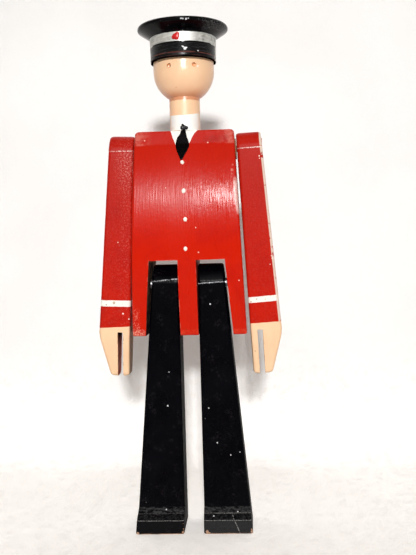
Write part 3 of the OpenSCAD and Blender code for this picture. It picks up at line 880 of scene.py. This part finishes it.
class TrouserPaint(Finish):
    """Gloss black legs, dusty at the feet and rubbed to the wood at the soles."""

    name = "trouser black enamel"
    specks = ((-9.4, -8.45, 69.3, 0.22), (-10.4, -8.45, 54.6, 0.36), (7.4, -8.45, 53.3, 0.3),
              (10.7, -8.45, 38.1, 0.34), (16.4, -8.45, 32.65, 0.26), (20.4, -8.45, 33.9, 0.26),
              (9.15, -8.45, 98.4, 0.36), (-12.2, -9.4, 9.3, 0.36), (8.5, -12.1, 7.2, 0.34),
              (18.9, -10.5, 8.45, 0.36))
    crease = ((-15.5, 108.7), (-5.0, 109.5), (4.8, 107.35), (15.2, 107.95))
    toe_scratch = ((0.0, 19.7), (2.4, 18.9), (4.4, 18.1), (6.0, 17.3), (7.6, 16.5))
    bare_corners = ((5.7, -14.2, 1.0, 0.8), (6.6, -14.2, 0.45, 0.5), (-4.4, -14.2, 0.9, 0.9),
                    (-24.4, -14.1, 0.4, 0.8), (25.0, -13.9, 0.9, 0.8), (24.7, -14.0, 1.9, 0.4),
                    (-4.35, -14.1, 2.3, 0.45), (-4.35, -14.1, 3.4, 0.4), (-4.4, -14.0, 4.6, 0.38))
    rubbed_grey = srgb(176, 174, 170)

    def dress(self) -> None:
        """Wires the black, dust, scratches and the bare wood at the toes."""
        brush = self.brush(0.5, 10.0)
        facing = self.facing()
        self.front = facing[1] < -0.3
        fine = self.point.noise(1000.0, 4.0, 0.7)
        black = brush["Mottle"].ramp(0.35, 0.7).mix(srgb(2, 2, 5), srgb(5, 5, 9))
        bloom = brush["Breaks"].ramp(0.5, 0.7) * fine.ramp(0.5, 0.66) * self.front
        black = (bloom * 0.22).mix(black, srgb(66, 60, 64))
        haze = self.foot_haze(fine)
        colour = self.marks(self.arrises(haze.mix(black, srgb(80, 80, 80))))
        bare = self.bare_toes()
        wood = self.w.group(self.effects.beech, Point=self.point, Pale=srgb(222, 184, 156),
                            Dark=srgb(150, 112, 90))["Color"]
        ridges = brush["Ridges"] * brush["Breaks"].ramp(0.35, 0.6, 0.3, 1.0)
        normal = self.bump(self.point.noise(800.0, 3.0, 0.6), 0.00003, self.bump(ridges, 0.00007))
        sides = abs(facing[0]).ramp(0.6, 0.9, 0.0, 0.62)
        dull = self.zone(self.z, 108.6, 112.5, 0.2, 0.4) * self.x.ramp(-0.001, 0.001, 0.0, 0.5)
        self.set(Base_Color=bare.mix(colour, wood), Normal=normal, Specular_IOR_Level=0.045,
                 Roughness=bare * 0.8 | haze * 0.6 | sides | dull | 0.2)

    def foot_haze(self, fine: Value) -> Value:
        """The grey in rows on the instep's slope, in spots on the step, and on the left toe's blunt
        front.
        """
        rows = self.point.stretched(0.5, 1.0, 1.0).noise(900.0, 3.0, 0.7).ramp(0.40, 0.60)
        slope = self.zone(self.z, 8.1, 10.1, 0.5, 0.35) * self.front * rows
        step = self.zone(self.z, 6.0, 8.1, 0.3, 0.2) * self.front * fine.ramp(0.42, 0.66)
        blunt = (self.z.ramp(0.0058, 0.0056) * self.front * fine.ramp(0.3, 0.6, 0.7, 1.0)
                 * self.x.ramp(0.0, 0.001, 0.06, 0.34))
        return slope * 0.62 | step * 0.3 | blunt

    def arrises(self, colour: Value) -> Value:
        """Dots the foot's two front arrises with rubbed grey."""
        broken = self.patches(1900.0, 0.40, 0.56, 3.0, 0.7)
        lower = self.zone(self.z, 5.68, 5.92, 0.1, 0.06)
        upper = self.zone(self.z, 7.95, 8.15, 0.3, 0.06) * self.x.ramp(0.0, 0.012, 0.25, 0.8)
        return ((lower | upper) * self.front * broken * 0.66).mix(colour, self.rubbed_grey)

    def marks(self, colour: Value) -> Value:
        """Sets the pale specks, the painted highlight along each crease and the left toe's scratch.
        """
        colour = (self.dust(5.5, 0.04, 0.3) * 0.5).mix(colour, srgb(150, 150, 150))
        colour = (self.dabs(*self.specks) * 0.95).mix(colour, srgb(232, 232, 234))
        # Painted highlight: a broken white line along each crease
        near = abs(self.z - self.line(self.crease, self.x)).ramp(0.00034, 0.00012)
        shine = (near * self.front * self.patches(1900.0, 0.44, 0.62, 2.0, 0.7)
                 * self.x.ramp(-0.0155, -0.0055, 0.4, 1.0))
        colour = (shine * 0.9).mix(colour, srgb(232, 236, 240))
        course = self.line(self.toe_scratch, self.z)
        off = abs(self.x - course + self.drift(700.0, 0.0006))
        scratch = (off.ramp(0.0002, 0.0001) * self.z.ramp(0.0078, 0.0070) * self.front
                   * self.patches(900.0, 0.36, 0.5, 2.0))
        return (scratch * 0.6).mix(colour, self.rubbed_grey)

    def bare_toes(self) -> Value:
        """The mask of the toes' corners and soles, rubbed to the wood."""
        low = self.z.ramp(0.0032, 0.0006) * self.rubbed(0.9, 1.0, 120.0)
        sole = self.z.ramp(0.0005, 0.0002) * self.patches(200.0, 0.38, 0.52) * (self.y < -0.012)
        return low | sole | self.dabs(*self.bare_corners)


@dataclass(frozen=True)
class DropColour:
    """The colour and gloss of a drop of thick paint."""

    name: str
    pale: Rgb
    deep: Rgb
    rough: float
    shine: float = 0.4


class DropPaint(Finish):
    """Thick drops of paint: buttons, cockade and tie."""

    def __init__(self, effects: Effects, tone: DropColour) -> None:
        """Keeps the drop's tone and builds the finish."""
        self.tone = tone
        self.name = tone.name
        super().__init__(effects)

    def dress(self) -> None:
        """Wires the tone, with a slow change over the drop and a faint bump."""
        tone = self.tone
        patch = self.point.noise(900.0, 3.0, 0.55)
        self.set(Base_Color=patch.ramp(0.35, 0.7).mix(tone.pale, tone.deep),
                 Roughness=patch.ramp(0.3, 0.7, tone.rough, tone.rough + 0.08),
                 Normal=self.bump(self.point.noise(1500.0), 0.00003),
                 Specular_IOR_Level=tone.shine)


class PinSteel(Finish):
    """Drawn steel of the pins and the rod."""

    name = "drawn steel"

    def dress(self) -> None:
        """Wires the metal and its drawing lines."""
        lines = self.point.stretched(0.05, 1.0, 1.0).noise(2500.0, 3.0, 0.6)
        self.set(Base_Color=lines.mix(srgb(180, 180, 184), srgb(214, 214, 216)), Metallic=1.0,
                 Roughness=lines.ramp(0.3, 0.7, 0.25, 0.42), Normal=self.bump(lines, 0.00002))


class WasherFibre(Finish):
    """Pressed brown fibre of the shoulder washers."""

    name = "pressed fibre"

    def dress(self) -> None:
        """Wires the felted brown."""
        felt = self.point.noise(2200.0, 4.0, 0.7)
        self.set(Base_Color=felt.mix(srgb(116, 74, 44), srgb(168, 120, 80)), Roughness=0.85,
                 Normal=self.bump(felt, 0.00008))


class StageCloth(Finish):
    """The pale floor and backdrop."""

    name = "pale floor"

    def dress(self) -> None:
        """Wires a near-white cloth that stays pale behind the figure."""
        w = self.w
        fold = self.patches(16.0, 0.35, 0.7, 3.0, 0.5)
        colour = fold.mix(srgb(250, 249, 247), srgb(243, 242, 240))
        tufts = self.patches(170.0, 0.46, 0.66, 4.0, 0.7) * self.z.ramp(0.08, 0.01, 0.0, 0.5)
        level = self.y.ramp(-0.10, -0.04, 0.02, 0.15) - self.z.ramp(0.03, 0.08, 0.0, 0.07)
        level = level + self.z.ramp(0.0, 0.05, 0.2, 0.0) * self.y.ramp(-0.08, -0.03)
        self.set(Base_Color=tufts.mix(colour, srgb(206, 205, 203)), Roughness=0.95,
                 Normal=self.bump(self.point.noise(900.0, 4.0, 0.7), 0.0002),
                 Emission_Color=srgb(255, 248, 240), Emission_Strength=w.seen() * level,
                 Specular_IOR_Level=0.1)
        cloth = Value(w, self.shader.outputs[0])
        clear = w.value("ShaderNodeBsdfTransparent", {})
        sides = {0: w.geometry("Backfacing"), 1: cloth, 2: clear}
        w.feed(self.leave.inputs[0], w.value("ShaderNodeMixShader", sides))


# Sub-assemblies

@dataclass(frozen=True)
class Spot:
    """A place on a piece's surface and the way that the surface faces there."""

    place: Vector
    facing: Vector


def front_of(piece: bpy.types.Object, x: float, z: float) -> Spot:
    """Finds a piece's front surface.

    Args:
        piece: The piece to look at.
        x: The place's distance to the figure's left, in mm.
        z: The place's height, in mm.

    Returns:
        The first spot that a line running straight back meets.
    """
    well_ahead = Vector((x * MM, -0.1, z * MM))
    _, place, facing, _ = piece.ray_cast(well_ahead, Vector((0, 1, 0)))
    return Spot(place.copy(), facing.copy())


def paint_drop(name: str, spot: Spot, half: Triple, turn: float, seed: int,
               rough: float = 0.05) -> bpy.types.Object:
    """Models a raised drop of paint.

    Args:
        name: The piece's name.
        spot: Where the drop sits.
        half: Half width, stand-out and half height, in mm.
        turn: Turn in the face's own plane, in degrees.
        seed: Seed of the small unevenness.
        rough: How uneven the drop is, as a share of its half sizes.

    Returns:
        The drop's mesh object.
    """
    deselect()
    bpy.ops.mesh.primitive_uv_sphere_add(segments=28, ring_count=16, radius=MM, location=(0, 0, 0))
    drop = bpy.context.object
    drop.name = name
    bpy.ops.object.mode_set(mode="EDIT")
    bpy.ops.mesh.select_all(action="SELECT")
    # The default threshold is wide at this size, and would double the faces of the cut
    bpy.ops.mesh.bisect(plane_co=(0, 0.0002, 0), plane_no=(0, 1, 0), use_fill=True,
                        clear_outer=True, threshold=1e-7)
    bpy.ops.mesh.select_all(action="SELECT")
    # The cut lists its vertices in another order each run, so the unevenness differs from
    # run to run in spite of the seed: by about 0.03 mm on a button, 0.1 mm on a blob
    bpy.ops.transform.vertex_random(offset=rough * MM, uniform=0.4, normal=0.6, seed=seed)
    bpy.ops.mesh.vertices_smooth(factor=0.5, repeat=2)
    bpy.ops.transform.resize(value=half, center_override=(0, 0, 0))
    bpy.ops.object.mode_set(mode="OBJECT")
    bpy.ops.object.shade_smooth_by_angle(angle=math.radians(50))
    lie = Vector((0, -1, 0)).rotation_difference(spot.facing).to_matrix().to_4x4()
    in_plane = Matrix.Rotation(math.radians(turn), 4, "Y")
    drop.data.transform(Matrix.Translation(spot.place) @ lie @ in_plane)
    return drop


def joined_drops(name: str, carrier: bpy.types.Object, seed: int,
                 lobes: Sequence[Lobe]) -> bpy.types.Object:
    """Models a blob of paint as several drops that have run together.

    Args:
        name: The piece's name.
        carrier: The piece that the blob sits on.
        seed: Seed of the first drop's unevenness.
        lobes: Each drop's x and z, half width, stand-out and half height, in mm, and its
            turn in degrees.

    Returns:
        The blob's mesh object.
    """
    drops = [paint_drop(f"{name}_{index}", front_of(carrier, x, z), (wide, thick, tall), turn,
                        seed + index, 0.1)
             for index, (x, z, wide, thick, tall, turn) in enumerate(lobes)]
    blob = drops[0]
    make_active(blob)
    for drop in drops:
        drop.select_set(True)
    bpy.ops.object.join()
    blob.name = name
    apply_modifier(blob, "REMESH", mode="VOXEL", voxel_size=0.12 * MM)
    apply_modifier(blob, "SMOOTH", factor=0.5, iterations=3)
    bpy.ops.object.shade_smooth()
    return blob


def dress_node(name: str, finish: Finish) -> None:
    """Gives a finish to a CAD node that is shown as it comes."""
    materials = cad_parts[name].data.materials
    materials.clear()
    materials.append(finish.material)


def dressed_copy(node: str, name: str, sharp: float, finish: Finish) -> bpy.types.Object:
    """Copies a CAD node as one closed, softly shaded mesh in a finish.

    Args:
        node: The CAD node's name.
        name: The new piece's name.
        sharp: Angle in degrees above which an edge stays crisp.
        finish: What the copy is painted with.

    Returns:
        The new mesh object, at the origin, with no parent.
    """
    piece = bpy.data.objects.new(name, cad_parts[node].data.copy())
    bpy.context.scene.collection.objects.link(piece)
    make_active(piece)
    if piece.data.has_custom_normals:
        bpy.ops.mesh.customdata_custom_splitnormals_clear()
    bpy.ops.object.mode_set(mode="EDIT")
    bpy.ops.mesh.select_all(action="SELECT")
    bpy.ops.mesh.remove_doubles(threshold=WELD)
    bpy.ops.object.mode_set(mode="OBJECT")
    bpy.ops.object.shade_smooth_by_angle(angle=math.radians(sharp))
    apply_modifier(piece, "WEIGHTED_NORMAL", keep_sharp=True, weight=90)
    piece.data.materials.clear()
    piece.data.materials.append(finish.material)
    return piece


@dataclass
class JacketBlock:
    """The jacket with its painted front, tie blade, buttons and hardware."""

    effects: Effects
    steel: Finish
    fibre: Finish
    blade_thick: float = 0.38
    button_thick: float = 0.42
    blade_ahead: float = 0.03
    blade_rows: tuple[tuple[float, float, float], ...] = (
        (173.0, -0.30, 2.1), (172.2, -0.40, 2.25), (171.3, -0.45, 2.75), (170.5, -0.65, 3.5),
        (169.7, -0.80, 4.25), (168.4, -0.74, 5.15), (167.1, -0.68, 5.75), (166.0, -0.72, 5.8),
        (164.9, -0.80, 5.15), (163.5, -0.95, 3.95), (162.2, -1.06, 2.65), (160.9, -1.14, 1.5),
        (160.2, -1.19, 0.7))
    buttons: tuple[tuple[float, float, float, float, float], ...] = (
        (-0.85, 159.1, 0.78, 0.95, -35), (-0.44, 146.9, 0.86, 1.08, 10),
        (-0.03, 134.9, 0.84, 1.0, 0), (-0.26, 122.5, 0.82, 0.95, 5))

    def build(self) -> None:
        """Builds and dresses the jacket's pieces."""
        paint = JacketPaint(self.effects)
        block = dressed_copy("jacket", "jacket_block", 32, paint)
        stand_for(block, "jacket", "jacket")
        for side in Side:
            dress_node(f"{side.word}_hip_plug", paint)
            dress_node(f"{side.word}_arm_pin", self.steel)
            dress_node(f"{side.word}_arm_washer", self.fibre)
        dress_node("hip_rod", self.steel)
        self.build_blade(block)
        self.build_buttons(block)

    def build_blade(self, block: bpy.types.Object) -> None:
        """Models the tie's blade as a thick leaf of paint on the jacket's front.

        A flat grid is widened row by row (height, middle and width), stood up ahead of
        the jacket and dropped onto it.

        Args:
            block: The jacket's mesh, which the leaf is laid on.
        """
        rows = self.blade_rows
        count = len(rows) - 1
        deselect()
        bpy.ops.mesh.primitive_grid_add(x_subdivisions=8, y_subdivisions=count, size=1.0,
                                        location=(0, 0, 0), rotation=(0, 0, 0))
        blade = bpy.context.object
        blade.name = "tie_blade"
        bpy.ops.object.mode_set(mode="EDIT")
        for index, (z, centre, width) in enumerate(rows):
            level = 0.5 - index / count
            select_vertices(blade, lambda co: abs(co.y - level) < NEAR and abs(co.z) < NEAR)
            bpy.ops.transform.resize(value=(width * MM, 1, 1), center_override=(0, level, 0))
            bpy.ops.transform.translate(value=(centre * MM, z * MM - level, -self.blade_ahead))
        bpy.ops.object.mode_set(mode="OBJECT")
        blade.rotation_euler = (math.radians(90), 0, 0)
        make_active(blade)
        bpy.ops.object.transform_apply(location=True, rotation=True, scale=True)
        blade.data.transform(Matrix.Translation((0, -2 * self.blade_ahead, 0)))
        apply_modifier(blade, "SHRINKWRAP", wrap_method="PROJECT", use_project_x=False,
                       use_project_y=True, use_project_z=False, use_negative_direction=True,
                       use_positive_direction=True, target=block, offset=0.02 * MM)
        apply_modifier(blade, "SOLIDIFY", thickness=self.blade_thick * MM, offset=1.0,
                       use_even_offset=True)
        apply_modifier(blade, "BEVEL", width=0.12 * MM, segments=2, limit_method="ANGLE",
                       angle_limit=math.radians(50))
        bpy.ops.object.shade_smooth()
        tone = DropColour("tie black paint", srgb(2, 1, 2), srgb(8, 4, 4), 0.18, 0.03)
        blade.data.materials.append(DropPaint(self.effects, tone).material)
        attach(blade, "jacket")
        LOG.info("tie blade laid on the jacket")

    def build_buttons(self, block: bpy.types.Object) -> None:
        """Models the four buttons as raised drops of white paint.

        Args:
            block: The jacket's mesh, which the drops are set on.
        """
        tone = DropColour("white drops", srgb(252, 250, 240), srgb(240, 232, 210), 0.3)
        finish = DropPaint(self.effects, tone)
        for number, (x, z, wide, tall, turn) in enumerate(self.buttons, 1):
            drop = paint_drop(f"button_{number}", front_of(block, x, z),
                              (wide, self.button_thick, tall), turn, number)
            drop.data.materials.append(finish.material)
            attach(drop, "jacket")
            LOG.info("%s set on the jacket", drop.name)


@dataclass
class HeadWithCap:
    """The turned head with its collar and knot, the cap, its peak and cockade."""

    effects: Effects
    cockade_lobes: tuple[Lobe, ...] = (
        (-1.85, 211.3, 1.55, 0.55, 1.35, 0), (-1.2, 212.15, 0.95, 0.5, 0.95, 0),
        (-2.65, 211.0, 1.05, 0.5, 1.0, 0), (-1.7, 210.55, 1.1, 0.45, 0.8, 0))
    knot_lobes: tuple[Lobe, ...] = (
        (-0.62, 175.3, 0.68, 0.45, 0.8, 8), (-0.95, 174.3, 0.8, 0.5, 0.95, 0),
        (0.85, 174.25, 0.9, 0.55, 0.85, -20), (-0.15, 174.1, 1.3, 0.45, 0.9, 0),
        (0.15, 175.0, 0.5, 0.35, 0.5, 0))

    def build(self) -> None:
        """Builds and dresses the head's pieces."""
        head = dressed_copy("neck_and_head", "head_turning", 40, SkinPaint(self.effects))
        stand_for(head, "neck_and_head", "head")
        cap = dressed_copy("cap", "cap_turning", 40, CapPaint(self.effects))
        stand_for(cap, "cap", "head")
        peak = dressed_copy("cap_peak", "peak_crescent", 25, PeakPaint(self.effects))
        stand_for(peak, "cap_peak", "head")
        self.build_cockade(cap)
        self.build_knot(head)

    def build_cockade(self, cap: bpy.types.Object) -> None:
        """Models the red cockade as an uneven blob on the band.

        Args:
            cap: The cap's mesh, which the blob sits on.
        """
        blob = joined_drops("cockade", cap, 11, self.cockade_lobes)
        tone = DropColour("cockade red", srgb(218, 10, 12), srgb(172, 6, 10), 0.28)
        blob.data.materials.append(DropPaint(self.effects, tone).material)
        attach(blob, "head")
        LOG.info("cockade set on the band")

    def build_knot(self, head: bpy.types.Object) -> None:
        """Models the tie's knot as lobes of black paint on the neck.

        Args:
            head: The head's mesh, whose neck the knot sits on.
        """
        knot = joined_drops("tie_knot", head, 20, self.knot_lobes)
        tone = DropColour("knot black paint", srgb(4, 4, 7), srgb(18, 18, 22), 0.2, 0.2)
        knot.data.materials.append(DropPaint(self.effects, tone).material)
        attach(knot, "head")
        LOG.info("tie knot set on the neck")


@dataclass
class Arm:
    """One arm with its sleeve, cuff stripe, hand and plug."""

    effects: Effects
    side: Side

    def build(self) -> None:
        """Builds and dresses the arm."""
        word = self.side.word
        paint = SleevePaint(self.effects, self.side)
        arm = dressed_copy(f"{word}_arm", f"{word}_arm_block", 32, paint)
        stand_for(arm, f"{word}_arm", f"{word}_arm")
        dress_node(f"{word}_arm_plug", paint)
        LOG.info("%s arm plug painted over", word)


@dataclass
class Legs:
    """Both legs, in one finish."""

    effects: Effects

    def build(self) -> None:
        """Builds and dresses the legs."""
        paint = TrouserPaint(self.effects)
        for side in Side:
            leg = dressed_copy(f"{side.word}_leg", f"{side.word}_leg_block", 32, paint)
            stand_for(leg, f"{side.word}_leg", f"{side.word}_leg")


@dataclass
class Stage:
    """The pale floor that sweeps up into a backdrop, the lamps and the camera.

    Sizes are in metres; the camera's place is in mm and its angles in degrees.
    """

    effects: Effects
    half_width: float = 1.4
    depth: float = 1.6
    back: float = 0.112
    rise: float = 1.2
    cove: float = 0.03
    lens: float = 52.0
    sensor: float = 36.0
    camera_place: tuple[float, float, float] = (26.54, -352.1, 124.6)
    yaw_pitch_roll: tuple[float, float, float] = (-2.989, 2.455, -1.547)

    def build(self) -> None:
        """Builds the floor, lamps, world and camera."""
        self.build_floor()
        self.build_lamps()
        self.build_world()
        self.build_camera()

    def build_floor(self) -> None:
        """Models the floor and backdrop as one sheet with a rounded cove."""
        deselect()
        bpy.ops.mesh.primitive_plane_add(size=2.0, location=(0, 0, 0))
        floor = bpy.context.object
        floor.name = "pale_floor"
        bpy.ops.object.mode_set(mode="EDIT")
        bpy.ops.mesh.select_all(action="SELECT")
        half_depth, middle = (self.back + self.depth) / 2, (self.back - self.depth) / 2
        bpy.ops.transform.resize(value=(self.half_width, half_depth, 1),
                                 center_override=(0, 0, 0))
        bpy.ops.transform.translate(value=(0, middle, 0))
        bpy.ops.mesh.select_mode(type="VERT")
        select_vertices(floor, lambda co: co.y > self.back - MM)
        bpy.ops.mesh.extrude_region_move(TRANSFORM_OT_translate={"value": (0, 0, self.rise)})
        select_vertices(floor, lambda co: co.y > self.back - MM and co.z < MM)
        bpy.ops.mesh.select_mode(type="EDGE")
        bpy.ops.mesh.bevel(offset=self.cove, segments=12, affect="EDGES")
        bpy.ops.object.mode_set(mode="OBJECT")
        bpy.ops.object.shade_smooth()
        floor.data.materials.append(StageCloth(self.effects).material)
        LOG.info("pale floor swept up behind the figure")

    def lamp(self, name: str, place: Triple, aim: Triple, size: tuple[float, float], watts: float,
             spread: float) -> None:
        """Adds a soft rectangular lamp.

        Args:
            name: The lamp's name.
            place: Where it stands, in metres.
            aim: The point that it faces, in metres.
            size: Width and height in metres.
            watts: Its power.
            spread: How wide its beam is, in degrees.
        """
        light = bpy.data.lights.new(name, "AREA")
        light.shape = "RECTANGLE"
        light.size, light.size_y = size
        light.energy = watts
        light.spread = math.radians(spread)
        lamp = bpy.data.objects.new(name, light)
        bpy.context.scene.collection.objects.link(lamp)
        lamp.location = place
        lamp.rotation_euler = (Vector(aim) - Vector(place)).to_track_quat("-Z", "Y").to_euler()

    def build_lamps(self) -> None:
        """Sets the soft key above the camera and a fill."""
        self.lamp("key", (0.13, -1.9, 0.64), aim=(0, 0, 0.19), size=(0.14, 0.12), watts=2.3,
                  spread=50)
        self.lamp("top", (0.03, -0.56, 1.0), aim=(0, 0, 0.12), size=(0.4, 0.2), watts=0.1,
                  spread=60)

    def build_world(self) -> None:
        """Sets the pale surroundings, dim as a light and brighter where they are seen."""
        world = bpy.data.worlds.new("pale room")
        bpy.context.scene.world = world
        world.use_nodes = True
        w = Wiring(world.node_tree)
        lift = w.value("ShaderNodeTexCoord", {}, "Generated").axes()[2]
        glow = lift.ramp(0.2, 0.95, 0.03, 0.24) | w.seen() * 0.6
        back = w.value("ShaderNodeBackground", {0: srgb(255, 244, 232), 1: glow})
        w.add("ShaderNodeOutputWorld", {0: back})

    def build_camera(self) -> None:
        """Sets the camera where the photograph was taken from."""
        yaw, pitch, roll = (math.radians(angle) for angle in self.yaw_pitch_roll)
        right = Vector((math.cos(yaw), -math.sin(yaw), 0))
        level = Vector((math.sin(yaw), math.cos(yaw), 0))
        up = math.sin(pitch) * level + Vector((0, 0, math.cos(pitch)))
        ahead = math.cos(pitch) * level - Vector((0, 0, math.sin(pitch)))
        rolled_right = right * math.cos(roll) + up * math.sin(roll)
        rolled_up = up * math.cos(roll) - right * math.sin(roll)
        lens = bpy.data.cameras.new("photo camera")
        lens.sensor_width, lens.lens = self.sensor, self.lens
        lens.clip_start, lens.clip_end = 0.01, 20.0
        camera = bpy.data.objects.new("photo camera", lens)
        bpy.context.scene.collection.objects.link(camera)
        turn = Matrix((rolled_right, rolled_up, -ahead)).transposed().to_4x4()
        camera.matrix_world = Matrix.Translation(Vector(self.camera_place) * MM) @ turn
        bpy.context.scene.camera = camera
        bpy.context.scene.view_settings.view_transform = "Standard"
        LOG.info("camera set")


def main() -> None:
    """Builds the figure's sub-assemblies in order, then the stage."""
    logging.basicConfig(level=logging.INFO, format="%(name)s: %(message)s")
    effects = Effects()
    steel, fibre = PinSteel(effects), WasherFibre(effects)
    JacketBlock(effects, steel, fibre).build()
    HeadWithCap(effects).build()
    for side in Side:
        Arm(effects, side).build()
    Legs(effects).build()
    Stage(effects).build()


if __name__ == "__main__":
    main()
